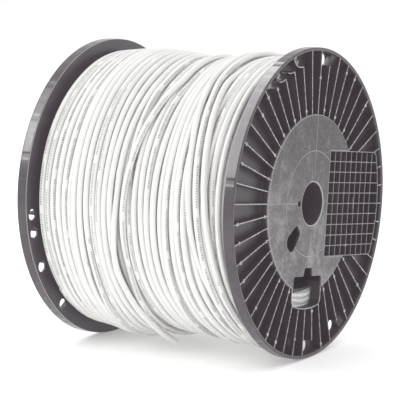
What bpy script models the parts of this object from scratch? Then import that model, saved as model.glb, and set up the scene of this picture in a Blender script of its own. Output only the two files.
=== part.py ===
"""Reel of network cable: two moulded flanges on a hollow barrel, wound with round data cable.

Metres, +Z up. The reel stands on its two rims, its axis along X. The origin is on the floor,
below the middle of the axis, and the flange with the label lattice in view faces +X.
"""
import math

import bmesh
import bpy
from mathutils import Vector

# Driving dimensions
FLANGE_DIAMETER = 0.380
REEL_WIDTH = 0.305
ROUND_SIDES = 72
CORNER_POINTS = 3
FIT_GAP = 0.0003

# Flange moulding
RIM_DEPTH = 0.0135
RIM_WALL = 0.0047
RIM_EDGE = 0.0009
WEB_THICKNESS = 0.0025
BORE_DIAMETER = 0.0524
COLLAR_WALL = 0.0030
COLLAR_DEPTH = 0.0270
HUB_PLATE_THICKNESS = 0.0032
HUB_EDGE = 0.0012
SPIGOT_LENGTH = 0.0080
SPIGOT_WALL = 0.0030

# Ribs on the flange's outer side
RIB_COUNT = 48
RIB_THICKNESS = 0.0017
RIB_DROP = 0.0005
RIB_ROOT = 0.0010
FLOOR_DROP = 0.0004

# Lattice that a label is tied or stuck to
LATTICE_LEFT = 0.0385
LATTICE_INSET = 0.0155
LATTICE_COLUMNS = 9
LATTICE_ROWS = 10
CELL_WIDTH = 0.01425
CELL_HEIGHT = 0.01305
LATTICE_BAR = 0.0015
LATTICE_CORNER = 0.0040
LATTICE_ARC_POINTS = 9

# Window that the inner end of the cable comes out of
WINDOW_HALF_WIDTH = 0.0350
WINDOW_TOP = 0.0885
WINDOW_OUTER_RADIUS = 0.1275
WINDOW_CORNER = 0.0035
WINDOW_ARC_POINTS = 7
WINDOW_FRAME = 0.0018
NOTCH_DEPTH = 0.0100
NOTCH_HALF_MOUTH = 0.0115
NOTCH_HALF_END = 0.0085

# Slot and drive hole in the hub plate
SLOT_INNER_RADIUS = 0.0437
SLOT_OUTER_RADIUS = 0.0775
SLOT_START_ANGLE = -144.6
SLOT_END_ANGLE = -125.5
SLOT_INNER_CORNER = 0.0050
SLOT_OUTER_CORNER = 0.0095
SLOT_CORNER_POINTS = 4
DRIVE_HOLE_RADIUS = 0.0034
DRIVE_HOLE_SIDES = 10
DRIVE_HOLE_CENTRE = 0.0336
DRIVE_HOLE_ANGLE = 180.0

# Tie-off holes near the rim, on rib lines, with the walls that sweep past them to the rim
TIE_HOLE_RADIUS = 0.0065
TIE_HOLE_SIDES = 12
TIE_HOLE_INSET = 0.0122
TIE_HOLE_ANGLES = (127.5, 120.0, 105.0, 82.5, -60.0, -82.5)
TIE_RIB_INSET = 0.0200
SWEEP_START_ANGLES = (120.0, 112.5, 105.0)
SWEEP_TURN = 6.5
SWEEP_POINTS = 5

# Barrel and winding: the turns fill the end faces up to the shoulders, and bulge gently between them.
# Insets are measured inwards from the flange's edge.
BARREL_DIAMETER = 0.2178
BARREL_WALL = 0.0036
WOUND_INSET = 0.0125
CABLE_DIAMETER = 0.0076
WINDING_SIDES = 36
SHOULDER_INSET = 0.0220
SHOULDER_WIDTH = 0.0120
TURN_HOLLOW = 0.0014
TURN_HALF_CROWN = 0.2
WAVE_HEIGHT = 0.0030
WAVE_LENGTH = 0.1650
WAVE_CREST = -0.0700
OUTER_STEPS = 30

# How far each flange is turned on the axis, in degrees
NEAR_FLANGE_TURN = -7.0
FAR_FLANGE_TURN = -48.0
FLAT_ANGLE = -83.0

# Route of the loose outer cable end from the axis's middle, in metres, on a winding of this radius
ROUTE_RADIUS = 0.1775
CABLE_END_ROUTE = (
    (-0.0222, -0.1602, -0.0833),
    (-0.0199, -0.1509, -0.0993),
    (-0.0181, -0.1385, -0.1159),
    (-0.0166, -0.1257, -0.1297),
    (-0.0146, -0.1154, -0.1393),
    (-0.0126, -0.1021, -0.1502),
    (-0.0105, -0.0851, -0.1636),
    (-0.0094, -0.0720, -0.1712),
    (-0.0091, -0.0570, -0.1792),
)
CABLE_END_POINTS = 19
CABLE_END_SIDES = 12
CURVE_STEPS = 20

# Sizes that follow
FLANGE_RADIUS = FLANGE_DIAMETER / 2
BORE_RADIUS = BORE_DIAMETER / 2
BARREL_RADIUS = BARREL_DIAMETER / 2
WOUND_RADIUS = FLANGE_RADIUS - WOUND_INSET
SHOULDER_RADIUS = FLANGE_RADIUS - SHOULDER_INSET
LATTICE_OUTER_RADIUS = FLANGE_RADIUS - LATTICE_INSET
TIE_HOLE_CENTRE = FLANGE_RADIUS - TIE_HOLE_INSET
TIE_RIB_END = FLANGE_RADIUS - TIE_RIB_INSET
CABLE_RADIUS = CABLE_DIAMETER / 2
RIM_INNER_RADIUS = FLANGE_RADIUS - RIM_WALL
RIB_TOP = RIM_DEPTH - RIB_DROP
HALF_TRAVERSE = REEL_WIDTH / 2 - RIM_DEPTH
SPIGOT_RADIUS = BARREL_RADIUS - BARREL_WALL - FIT_GAP
AXIS_HEIGHT = FLANGE_RADIUS * math.cos(math.pi / ROUND_SIDES)
CUT_MARGIN = 0.004


def remove_all():
    for existing in list(bpy.data.objects):
        bpy.data.objects.remove(existing, do_unlink=True)


def new_collection(name):
    collection = bpy.data.collections.new(name)
    bpy.context.scene.collection.children.link(collection)
    return collection


def new_material(name, colour, roughness):
    material = bpy.data.materials.new(name)
    material.use_nodes = True
    shader = material.node_tree.nodes["Principled BSDF"]
    shader.inputs["Base Color"].default_value = (*colour, 1.0)
    shader.inputs["Roughness"].default_value = roughness
    shader.inputs["Metallic"].default_value = 0.0
    return material


def place(name, data, collection, parent=None):
    placed = bpy.data.objects.new(name, data)
    collection.objects.link(placed)
    placed.parent = parent
    return placed


def as_cutter(cutter):
    cutter.hide_render = True
    cutter.display_type = "WIRE"
    return cutter


def freeze(source, name):
    """The evaluated shape of an object as a mesh of its own, with its loose caps welded."""
    bpy.context.view_layer.update()
    graph = bpy.context.evaluated_depsgraph_get()
    mesh = bpy.data.meshes.new_from_object(source.evaluated_get(graph))
    mesh.name = name
    welded = bmesh.new()
    welded.from_mesh(mesh)
    bmesh.ops.remove_doubles(welded, verts=welded.verts, dist=0.00001)
    welded.to_mesh(mesh)
    welded.free()
    bpy.data.objects.remove(source, do_unlink=True)
    return mesh


def smooth(mesh, sharp_degrees):
    mesh.shade_smooth()
    mesh.set_sharp_from_angle(angle=math.radians(sharp_degrees))


def polar(radius, degrees):
    angle = math.radians(degrees)
    return Vector((radius * math.cos(angle), radius * math.sin(angle)))


def arc(radius, start, end, count):
    return [polar(radius, start + (end - start) * step / (count - 1)) for step in range(count)]


def rounded(corners, count=CORNER_POINTS):
    """An outline with its corners rounded: each corner is a point and a radius."""
    outline = []
    total = len(corners)
    for index in range(total):
        point, radius = corners[index]
        if radius == 0:
            outline.append(Vector(point))
            continue
        before = (Vector(corners[index - 1][0]) - Vector(point)).normalized()
        after = (Vector(corners[(index + 1) % total][0]) - Vector(point)).normalized()
        half = before.angle(after) / 2
        reach = radius / math.tan(half)
        centre = Vector(point) + (before + after).normalized() * (radius / math.sin(half))
        start = Vector(point) + before * reach - centre
        end = Vector(point) + after * reach - centre
        for step in range(count):
            share = step / (count - 1)
            spoke = start.lerp(end, share)
            outline.append(centre + spoke.normalized() * radius)
    return outline


def turned(name, profile, sides, collection, start_angle=0.0):
    """A closed profile of (radius, height) points turned about the local Z axis."""
    mesh = bpy.data.meshes.new(name)
    count = len(profile)
    edges = [(step, (step + 1) % count) for step in range(count)]
    spoke = polar(1.0, start_angle)
    mesh.from_pydata([(radius * spoke.x, radius * spoke.y, height) for radius, height in profile], edges, [])
    body = place(name, mesh, collection)
    screw = body.modifiers.new("turn", "SCREW")
    screw.axis = "Z"
    screw.steps = sides
    screw.render_steps = sides
    screw.use_merge_vertices = True
    screw.merge_threshold = 0.00001
    screw.use_smooth_shade = True
    return body


def prism(name, outline, low, high, collection):
    """A flat outline raised from one height to another."""
    curve = bpy.data.curves.new(name, "CURVE")
    curve.dimensions = "2D"
    curve.fill_mode = "BOTH"
    curve.extrude = (high - low) / 2
    spline = curve.splines.new("POLY")
    spline.points.add(len(outline) - 1)
    for point, corner in zip(spline.points, outline):
        point.co = (corner[0], corner[1], 0.0, 1.0)
    spline.use_cyclic_u = True
    raised = place(name, curve, collection)
    raised.location.z = (low + high) / 2
    bpy.context.view_layer.update()
    matrix = raised.matrix_world.copy()
    solid = place(name, freeze(raised, name), collection)
    solid.matrix_world = matrix
    return as_cutter(solid)


def block(target, low, high, turn_degrees=0.0):
    """Adds a box between two corners to a mesh being built, turned about the Z axis."""
    made = bmesh.ops.create_cube(target, size=1.0)
    middle = (Vector(low) + Vector(high)) / 2
    size = Vector(high) - Vector(low)
    turn = math.radians(turn_degrees)
    for vertex in made["verts"]:
        spot = Vector((vertex.co.x * size.x, vertex.co.y * size.y, vertex.co.z * size.z)) + middle
        vertex.co.x = spot.x * math.cos(turn) - spot.y * math.sin(turn)
        vertex.co.y = spot.x * math.sin(turn) + spot.y * math.cos(turn)
        vertex.co.z = spot.z


def from_bmesh(name, built, collection):
    mesh = bpy.data.meshes.new(name)
    built.to_mesh(mesh)
    built.free()
    return as_cutter(place(name, mesh, collection))


def combine(body, other, operation):
    boolean = body.modifiers.new(other.name, "BOOLEAN")
    boolean.operation = operation
    boolean.solver = "EXACT"
    boolean.object = other


def flange_profile():
    """Half section of the plain moulding, from the rim's outer side round to the hub plate."""
    return [
        (FLANGE_RADIUS - RIM_EDGE, RIM_DEPTH),
        (FLANGE_RADIUS, RIM_DEPTH - RIM_EDGE),
        (FLANGE_RADIUS, RIM_EDGE),
        (FLANGE_RADIUS - RIM_EDGE, 0.0),
        (SPIGOT_RADIUS, 0.0),
        (SPIGOT_RADIUS, -SPIGOT_LENGTH),
        (SPIGOT_RADIUS - SPIGOT_WALL, -SPIGOT_LENGTH),
        (SPIGOT_RADIUS - SPIGOT_WALL, RIM_DEPTH - HUB_PLATE_THICKNESS),
        (BORE_RADIUS + COLLAR_WALL, RIM_DEPTH - HUB_PLATE_THICKNESS),
        (BORE_RADIUS + COLLAR_WALL, RIM_DEPTH - COLLAR_DEPTH),
        (BORE_RADIUS, RIM_DEPTH - COLLAR_DEPTH),
        (BORE_RADIUS, RIM_DEPTH - HUB_EDGE),
        (BORE_RADIUS + HUB_EDGE, RIM_DEPTH),
        (BARREL_RADIUS - HUB_EDGE, RIM_DEPTH),
        (BARREL_RADIUS, RIM_DEPTH - HUB_EDGE),
        (BARREL_RADIUS, WEB_THICKNESS),
        (RIM_INNER_RADIUS, WEB_THICKNESS),
        (RIM_INNER_RADIUS, RIM_DEPTH),
    ]


def rib_end(degrees):
    for hole in TIE_HOLE_ANGLES + SWEEP_START_ANGLES:
        if abs(degrees - hole) < 180.0 / RIB_COUNT:
            return TIE_RIB_END
    return RIM_INNER_RADIUS + RIB_ROOT


def ribs(collection):
    built = bmesh.new()
    for step in range(RIB_COUNT):
        degrees = -180.0 + 360.0 * (step + 1) / RIB_COUNT
        low = (BARREL_RADIUS - HUB_EDGE - RIB_ROOT, -RIB_THICKNESS / 2, WEB_THICKNESS - RIB_ROOT)
        high = (rib_end(degrees), RIB_THICKNESS / 2, RIB_TOP)
        block(built, low, high, degrees)
    return from_bmesh("rib_blocks", built, collection)


def sweep_wall(start_degrees, collection):
    """A curved wall from the end of a shortened rib round to the rim."""
    inner = []
    outer = []
    for step in range(SWEEP_POINTS):
        share = step / (SWEEP_POINTS - 1)
        radius = TIE_RIB_END + (RIM_INNER_RADIUS + RIB_ROOT - TIE_RIB_END) * share ** 2
        degrees = start_degrees + SWEEP_TURN * math.sin(share * math.pi / 2)
        along = polar(1.0, start_degrees + 90.0 * (1.0 - share))
        side = Vector((-along.y, along.x)) * (RIB_THICKNESS / 2)
        centre = polar(radius, degrees)
        inner.append(centre + side)
        outer.append(centre - side)
    outline = inner + outer[::-1]
    return prism(f"sweep_{start_degrees:g}", outline, WEB_THICKNESS - RIB_ROOT, RIB_TOP, collection)


def lattice_outline(inset):
    """Outline of the lattice: straight on three sides, an arc of the rim's centre on the fourth."""
    half_height = LATTICE_ROWS * CELL_HEIGHT / 2 + LATTICE_BAR / 2 - inset
    left = LATTICE_LEFT - LATTICE_BAR / 2 + inset
    radius = LATTICE_OUTER_RADIUS + LATTICE_BAR / 2 - inset
    end = math.degrees(math.asin((half_height - LATTICE_CORNER) / radius))
    side = arc(radius, -end, end, LATTICE_ARC_POINTS)
    shoulder = side[-1].x - LATTICE_CORNER
    outline = [Vector((left, half_height)), Vector((left, -half_height)), Vector((shoulder, -half_height))]
    outline += side
    outline.append(Vector((shoulder, half_height)))
    return outline


def lattice_cells(collection):
    """The open cells between the lattice's bars, clipped to the lattice's outline."""
    built = bmesh.new()
    bottom = -LATTICE_ROWS * CELL_HEIGHT / 2
    for column in range(LATTICE_COLUMNS):
        left = LATTICE_LEFT + column * CELL_WIDTH
        right = left + CELL_WIDTH
        if column == LATTICE_COLUMNS - 1:
            right = LATTICE_OUTER_RADIUS + CUT_MARGIN
        for row in range(LATTICE_ROWS):
            base = bottom + row * CELL_HEIGHT
            low = (left + LATTICE_BAR / 2, base + LATTICE_BAR / 2, WEB_THICKNESS)
            high = (right - LATTICE_BAR / 2, base + CELL_HEIGHT - LATTICE_BAR / 2, RIM_DEPTH + CUT_MARGIN)
            block(built, low, high)
    cells = from_bmesh("lattice_cells", built, collection)
    clip = prism("lattice_clip", lattice_outline(LATTICE_BAR), 0.0, RIM_DEPTH + 2 * CUT_MARGIN, collection)
    combine(cells, clip, "INTERSECT")
    return cells


def window_outline(grow):
    """Outline of the window, an arc of the rim's centre below and a notch in its top."""
    half = WINDOW_HALF_WIDTH + grow
    top = -(WINDOW_TOP - grow)
    radius = WINDOW_OUTER_RADIUS + grow
    corner = WINDOW_CORNER + grow
    foot = -math.sqrt(radius ** 2 - half ** 2)
    end = math.degrees(math.asin((half - corner) / radius))
    upper = [((half, foot), 0), ((half, top), corner), ((NOTCH_HALF_MOUTH + grow, top), 0)]
    upper += [((NOTCH_HALF_END + grow, top + NOTCH_DEPTH), 0), ((-NOTCH_HALF_END - grow, top + NOTCH_DEPTH), 0)]
    upper += [((-NOTCH_HALF_MOUTH - grow, top), 0), ((-half, top), corner), ((-half, foot), 0)]
    outline = rounded(upper)
    outline[0] = Vector((half, foot + corner))
    outline[-1] = Vector((-half, foot + corner))
    return outline + arc(radius, -90.0 - end, -90.0 + end, WINDOW_ARC_POINTS)


def slot_outline():
    corners = [
        (polar(SLOT_INNER_RADIUS, SLOT_END_ANGLE), SLOT_INNER_CORNER),
        (polar(SLOT_INNER_RADIUS, SLOT_START_ANGLE), SLOT_INNER_CORNER),
        (polar(SLOT_OUTER_RADIUS, SLOT_START_ANGLE), SLOT_OUTER_CORNER),
        (polar(SLOT_OUTER_RADIUS, SLOT_END_ANGLE), SLOT_OUTER_CORNER),
    ]
    return rounded(corners, SLOT_CORNER_POINTS)


def round_holes(collection):
    built = bmesh.new()
    holes = [(TIE_HOLE_CENTRE, degrees, TIE_HOLE_RADIUS, TIE_HOLE_SIDES) for degrees in TIE_HOLE_ANGLES]
    holes.append((DRIVE_HOLE_CENTRE, DRIVE_HOLE_ANGLE, DRIVE_HOLE_RADIUS, DRIVE_HOLE_SIDES))
    for centre, degrees, radius, sides in holes:
        made = bmesh.ops.create_cone(
            built, cap_ends=True, segments=sides, radius1=radius, radius2=radius, depth=4 * RIM_DEPTH)
        spot = polar(centre, degrees)
        bmesh.ops.translate(built, verts=made["verts"], vec=(spot.x, spot.y, 0.0))
    return from_bmesh("round_holes", built, collection)


def flange_mesh(cutters):
    """One flange moulding, its inner face on the plane Z = 0 and its outer side up."""
    body = turned("flange_body", flange_profile(), ROUND_SIDES, cutters, FLAT_ANGLE + 180.0 / ROUND_SIDES)
    combine(body, ribs(cutters), "UNION")
    for degrees in SWEEP_START_ANGLES:
        combine(body, sweep_wall(degrees, cutters), "UNION")
    lattice = prism("lattice_block", lattice_outline(0.0), FLOOR_DROP, RIM_DEPTH - FLOOR_DROP, cutters)
    combine(body, lattice, "UNION")
    window_block = prism("window_block", window_outline(WINDOW_FRAME), FLOOR_DROP, RIM_DEPTH - FLOOR_DROP, cutters)
    combine(body, window_block, "UNION")
    combine(body, lattice_cells(cutters), "DIFFERENCE")
    window = prism("window", window_outline(0.0), -SPIGOT_LENGTH - CUT_MARGIN, RIM_DEPTH + CUT_MARGIN, cutters)
    combine(body, window, "DIFFERENCE")
    slot = prism("slot", slot_outline(), -CUT_MARGIN, RIM_DEPTH + CUT_MARGIN, cutters)
    combine(body, slot, "DIFFERENCE")
    combine(body, round_holes(cutters), "DIFFERENCE")
    mesh = freeze(body, "flange")
    smooth(mesh, 30)
    return mesh


def barrel_profile():
    half = HALF_TRAVERSE - FIT_GAP
    inner = BARREL_RADIUS - BARREL_WALL
    return [(BARREL_RADIUS, half), (BARREL_RADIUS, -half), (inner, -half), (inner, half)]


def wound_radius(height):
    """Radius of the wound cable at a distance along the axis from the reel's middle."""
    wave = WAVE_HEIGHT * math.cos(2 * math.pi * (height - WAVE_CREST) / WAVE_LENGTH)
    inset = min(HALF_TRAVERSE - FIT_GAP - abs(height), SHOULDER_WIDTH)
    rise = (1 - math.cos(math.pi * inset / SHOULDER_WIDTH)) / 2
    return SHOULDER_RADIUS + (WOUND_RADIUS + wave - SHOULDER_RADIUS) * rise


def winding_profile():
    """Section of the wound cable: rounded turns on both ends, a gently waved outer side."""
    half = HALF_TRAVERSE - FIT_GAP
    bore = (BARREL_RADIUS + FIT_GAP) / math.cos(math.pi / WINDING_SIDES)
    layers = round((SHOULDER_RADIUS - bore) / CABLE_DIAMETER)
    layer = (SHOULDER_RADIUS - bore) / layers
    face = [(bore, half - TURN_HOLLOW)]
    for step in range(layers):
        middle = bore + layer * (step + 0.5)
        face.append((middle - layer * TURN_HALF_CROWN, half))
        face.append((middle + layer * TURN_HALF_CROWN, half))
        face.append((middle + layer / 2, half - TURN_HOLLOW))
    start = half - TURN_HOLLOW
    outer = []
    for step in range(1, OUTER_STEPS):
        height = start * math.cos(math.pi * step / OUTER_STEPS)
        outer.append((wound_radius(height), height))
    other_face = [(radius, -height) for radius, height in reversed(face)]
    return face + outer + other_face


def spread(route, count):
    """Evenly spaced points on a smooth curve through the route's points."""
    points = [Vector(point) for point in route]
    ends = [points[0] * 2 - points[1]] + points + [points[-1] * 2 - points[-2]]
    fine = []
    for index in range(1, len(ends) - 2):
        a, b, c, d = ends[index - 1:index + 3]
        for step in range(CURVE_STEPS):
            t = step / CURVE_STEPS
            spot = (2 * b + (c - a) * t + (2 * a - 5 * b + 4 * c - d) * t ** 2
                    + (3 * b - a - 3 * c + d) * t ** 3) / 2
            fine.append(spot)
    fine.append(points[-1])
    travelled = [0.0]
    for before, after in zip(fine, fine[1:]):
        travelled.append(travelled[-1] + (after - before).length)
    even = []
    index = 0
    for step in range(count):
        target = travelled[-1] * step / (count - 1)
        while index < len(fine) - 2 and travelled[index + 1] < target:
            index += 1
        stretch = travelled[index + 1] - travelled[index]
        even.append(fine[index].lerp(fine[index + 1], (target - travelled[index]) / stretch))
    return even


def cable_end(collection):
    curve = bpy.data.curves.new("cable_outer_end", "CURVE")
    curve.dimensions = "3D"
    curve.bevel_depth = CABLE_RADIUS
    curve.bevel_resolution = CABLE_END_SIDES // 4 - 1
    curve.use_fill_caps = True
    spline = curve.splines.new("POLY")
    scale = WOUND_RADIUS / ROUTE_RADIUS
    fitted = [(x, y * scale, z * scale) for x, y, z in CABLE_END_ROUTE]
    route = spread(fitted, CABLE_END_POINTS)
    spline.points.add(len(route) - 1)
    for point, spot in zip(spline.points, route):
        point.co = (*spot, 1.0)
    end = place("cable_outer_end", curve, collection)
    end.location = (0.0, 0.0, AXIS_HEIGHT)
    return end


def build():
    remove_all()
    parts = new_collection("cable_reel")
    cutters = new_collection("cutters")
    grey_plastic = new_material("grey_plastic", (0.075, 0.068, 0.074), 0.42)
    barrel_plastic = new_material("barrel_plastic", (0.060, 0.056, 0.060), 0.50)
    cable_jacket = new_material("cable_jacket", (0.83, 0.83, 0.81), 0.45)
    loose_jacket = new_material("loose_jacket", (0.80, 0.80, 0.78), 0.45)

    axis = place("reel_axis", None, parts)
    axis.location = (0.0, 0.0, AXIS_HEIGHT)
    axis.rotation_euler = (math.pi / 2, 0.0, math.pi / 2)

    flange = flange_mesh(cutters)
    flange.materials.append(grey_plastic)
    near = place("near_flange", flange, parts, axis)
    near.location = (0.0, 0.0, HALF_TRAVERSE)
    near.rotation_euler = (0.0, 0.0, math.radians(NEAR_FLANGE_TURN))
    far = place("far_flange", flange, parts, axis)
    far.location = (0.0, 0.0, -HALF_TRAVERSE)
    far.rotation_euler = (math.pi, 0.0, math.radians(FAR_FLANGE_TURN))

    barrel = turned("barrel", barrel_profile(), ROUND_SIDES, parts)
    barrel.parent = axis
    barrel.data.materials.append(barrel_plastic)
    winding = turned("wound_cable", winding_profile(), WINDING_SIDES, parts)
    winding.parent = axis
    winding.data.materials.append(cable_jacket)
    end = cable_end(parts)
    end.data.materials.append(loose_jacket)
    bpy.context.view_layer.update()


build()
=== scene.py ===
"""Looks of the reel of network cable: two ribbed plastic flanges, loose turns of white cable."""
import math
import random

import bmesh
import bpy
import numpy as np
from mathutils import Matrix, Vector


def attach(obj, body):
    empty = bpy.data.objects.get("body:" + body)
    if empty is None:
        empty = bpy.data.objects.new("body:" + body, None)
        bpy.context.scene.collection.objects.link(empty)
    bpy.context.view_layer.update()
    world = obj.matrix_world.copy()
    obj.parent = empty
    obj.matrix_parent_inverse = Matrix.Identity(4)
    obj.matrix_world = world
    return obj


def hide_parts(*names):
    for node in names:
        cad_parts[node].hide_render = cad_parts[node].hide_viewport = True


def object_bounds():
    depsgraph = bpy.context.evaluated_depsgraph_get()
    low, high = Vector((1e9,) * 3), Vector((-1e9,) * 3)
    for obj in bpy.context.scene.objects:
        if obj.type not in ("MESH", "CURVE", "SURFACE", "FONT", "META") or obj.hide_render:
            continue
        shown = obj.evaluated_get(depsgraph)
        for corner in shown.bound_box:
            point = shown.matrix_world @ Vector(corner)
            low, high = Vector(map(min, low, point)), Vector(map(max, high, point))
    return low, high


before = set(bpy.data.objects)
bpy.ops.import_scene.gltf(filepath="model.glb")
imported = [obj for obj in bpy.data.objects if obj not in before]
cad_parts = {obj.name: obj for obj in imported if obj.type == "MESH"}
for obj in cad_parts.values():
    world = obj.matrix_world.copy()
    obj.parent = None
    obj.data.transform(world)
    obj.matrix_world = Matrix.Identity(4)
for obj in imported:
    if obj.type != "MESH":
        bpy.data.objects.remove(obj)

CAD_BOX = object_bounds()

# Main sizes: the box is the frame's, the others are those of part.py
AXIS_HEIGHT = CAD_BOX[1].z / 2
FLANGE_RADIUS = AXIS_HEIGHT
RIM_DEPTH = 0.0135
HALF_TRAVERSE = CAD_BOX[1].x - RIM_DEPTH
CABLE_RADIUS = 0.0038
CABLE_DIAMETER = 2 * CABLE_RADIUS

# Lays Z along the reel's axis, at the axis's height
REEL_AXIS = (Matrix.Translation((0.0, 0.0, AXIS_HEIGHT))
             @ Matrix(((0, 0, 1, 0), (1, 0, 0, 0), (0, 1, 0, 0), (0, 0, 0, 1))))

# Flange moulding, in its own frame: inner face at Z = 0, outer side up
RIM_WALL = 0.0047
RIM_INSIDE = FLANGE_RADIUS - RIM_WALL
WEB_TOP = 0.0025
# Ribs and knobs start a little inside the web
FOOT = 0.0022
HUB_RADIUS = 0.1089
PLATE_DEPTH = 0.0032
GROOVE_RADIUS = 0.0646
WITNESS_LINES = (90.0, 180.0, -90.0, -135.0)
BORE_RADIUS = 0.0262
COLLAR_WALL = 0.0030
COLLAR_DEPTH = 0.0270
SPIGOT_INSIDE = 0.1020
SPIGOT_OUTSIDE = 0.1050
SPIGOT_DEPTH = 0.0080
DRIVE_HOLE_CENTRE = 0.0336
DRIVE_HOLE_RADIUS = 0.0034
SLOT_RADII = (0.0437, 0.0775)
SLOT_ANGLES = (-125.5, -144.6)
RIB_COUNT = 48
RIB_PITCH = 360.0 / RIB_COUNT
RIB_TOP = 0.0130
RIB_HALF = 0.00095
BAR_HALF = 0.00080
WALL_HALF = 0.00085
DRAFT = 0.00025
CURVED_DRAFT = 0.0002
TOP_CHAMFER = 0.0003
LATTICE_LEFT = 0.0385
LATTICE_RADIUS = 0.1745
CELL_WIDTH = 0.01425
CELL_HEIGHT = 0.01305
LATTICE_COLUMNS = 9
LATTICE_ROWS = 10
LATTICE_HALF = LATTICE_ROWS * CELL_HEIGHT / 2
TIE_HOLES = (127.5, 120.0, 105.0, 82.5, -60.0, -82.5)
TIE_HOLE_CENTRE = 0.1778
TIE_HOLE_RADIUS = 0.0072
TIE_RIB_END = 0.1700
SWEEPS = (120.0, 112.5, 105.0)
SWEEP_TURN = 6.5
FRAME_GROW = 0.0009
NEAR_TURN = -7.0
FAR_TURN = -48.0
# Openings are cut from below the moulding to above it
CUT_LOW = -0.02
CUT_HIGH = RIM_DEPTH + 0.01

# The loose outer end: the route that part.py states, from the axis's middle
CABLE_END_ROUTE = (
    (-0.0222, -0.1602, -0.0833),
    (-0.0199, -0.1509, -0.0993),
    (-0.0181, -0.1385, -0.1159),
    (-0.0166, -0.1257, -0.1297),
    (-0.0146, -0.1154, -0.1393),
    (-0.0126, -0.1021, -0.1502),
    (-0.0105, -0.0851, -0.1636),
    (-0.0094, -0.0720, -0.1712),
    (-0.0091, -0.0570, -0.1792),
)

# The mesh attribute that keeps a flange's own coordinates, in which its material is drawn
PLACE_IN_FLANGE = "place_in_flange"

# Colours, as linear values
DARK_PLASTIC = (0.044, 0.037, 0.042)
CLOUDY_PLASTIC = (0.062, 0.053, 0.060)
# Painted shade: the pockets between the ribs are darker than the plastic elsewhere
POCKET_SHADE_DARK = (0.026, 0.021, 0.024)
POCKET_SHADE_LIGHT = (0.040, 0.034, 0.038)
# The hub plate's colours are a painted reflection over its flow marks, lighter towards the lower left and
# darker at the top
HUB_DARK = (0.012, 0.010, 0.012)
HUB_SHEEN_LIGHT = (0.250, 0.240, 0.245)
# Painted reflection on the tops of the ribs, light and dark in speckles
RIB_TOP_SHEEN_DARK = (0.190, 0.178, 0.186)
RIB_TOP_SHEEN_LIGHT = (0.500, 0.485, 0.495)
# Painted highlight along rounded edges
EDGE_HIGHLIGHT = (0.400, 0.390, 0.395)
# Painted reflection on the tops of the lattice bars
LATTICE_TOP_SHEEN = (0.230, 0.218, 0.224)
# Light flow marks on the hub plate, and the painted highlight of its groove ring and witness lines
FLOW_MARKS_AND_HIGHLIGHT = (0.330, 0.320, 0.325)
JACKET_SHADE = (0.780, 0.777, 0.760)
JACKET_LIGHT = (0.815, 0.813, 0.798)
JACKET_SMUDGE = (0.765, 0.755, 0.730)
INK = (0.22, 0.22, 0.23)
FLOOR_SHADE = (0.93, 0.93, 0.93)
FLOOR_LIGHT = (0.95, 0.95, 0.95)

# The jacket's print: how long a dash, a group of dashes and a whole row are, each with its gap
DASH_PITCH = 0.0031
GROUP_PITCH = 0.061
ROW_PITCH = 1.0


# Node materials

def nodes_of(name):
    material = bpy.data.materials.new(name)
    material.use_nodes = True
    tree = material.node_tree
    return material, tree, tree.nodes["Principled BSDF"]


def set_inputs(node, **values):
    """Sets a node's inputs; an underscore in a key stands for a space."""
    for key, value in values.items():
        node.inputs[key.replace("_", " ")].default_value = value


class Graph:
    """Short ways to add and link shader nodes."""

    def __init__(self, tree):
        self.tree = tree

    def add(self, kind, **settings):
        node = self.tree.nodes.new(kind)
        for key, value in settings.items():
            setattr(node, key, value)
        return node

    def link(self, out, into):
        self.tree.links.new(out, into)

    def math(self, operation, *values, clamp=False):
        node = self.add("ShaderNodeMath", operation=operation, use_clamp=clamp)
        for socket, value in zip(node.inputs, values):
            if isinstance(value, (int, float)):
                socket.default_value = value
            else:
                self.link(value, socket)
        return node.outputs[0]

    def times(self, first, *others):
        for other in others:
            first = self.math("MULTIPLY", first, other)
        return first

    def away(self, value, middle):
        """How far the value is from the middle."""
        return self.math("ABSOLUTE", self.math("SUBTRACT", value, middle))

    def parts(self, vector):
        node = self.add("ShaderNodeSeparateXYZ")
        self.link(vector, node.inputs[0])
        return node.outputs

    def noise(self, vector, scale, detail=3.0, roughness=0.55):
        node = self.add("ShaderNodeTexNoise")
        self.link(vector, node.inputs["Vector"])
        set_inputs(node, Scale=scale, Detail=detail, Roughness=roughness)
        return node.outputs["Fac"]

    def spread(self, value, low, high, to_low=0.0, to_high=1.0):
        """A smooth step from to_low, at low, to to_high, at high."""
        node = self.add("ShaderNodeMapRange", interpolation_type="SMOOTHSTEP")
        self.link(value, node.inputs["Value"])
        set_inputs(node, From_Min=low, From_Max=high, To_Min=to_low, To_Max=to_high)
        return node.outputs["Result"]

    def mix(self, factor, first, second):
        node = self.add("ShaderNodeMix", data_type="RGBA")
        self.link(factor, node.inputs[0])
        for socket, value in ((node.inputs[6], first), (node.inputs[7], second)):
            if isinstance(value, tuple):
                socket.default_value = (*value, 1.0)
            else:
                self.link(value, socket)
        return node.outputs[2]

    def scaled(self, vector, factors):
        node = self.add("ShaderNodeVectorMath", operation="MULTIPLY")
        self.link(vector, node.inputs[0])
        node.inputs[1].default_value = factors
        return node.outputs[0]

    def bump(self, height, distance, strength=1.0, normal=None):
        node = self.add("ShaderNodeBump")
        set_inputs(node, Strength=strength, Distance=distance)
        self.link(height, node.inputs["Height"])
        if normal is not None:
            self.link(normal, node.inputs["Normal"])
        return node.outputs["Normal"]


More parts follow.
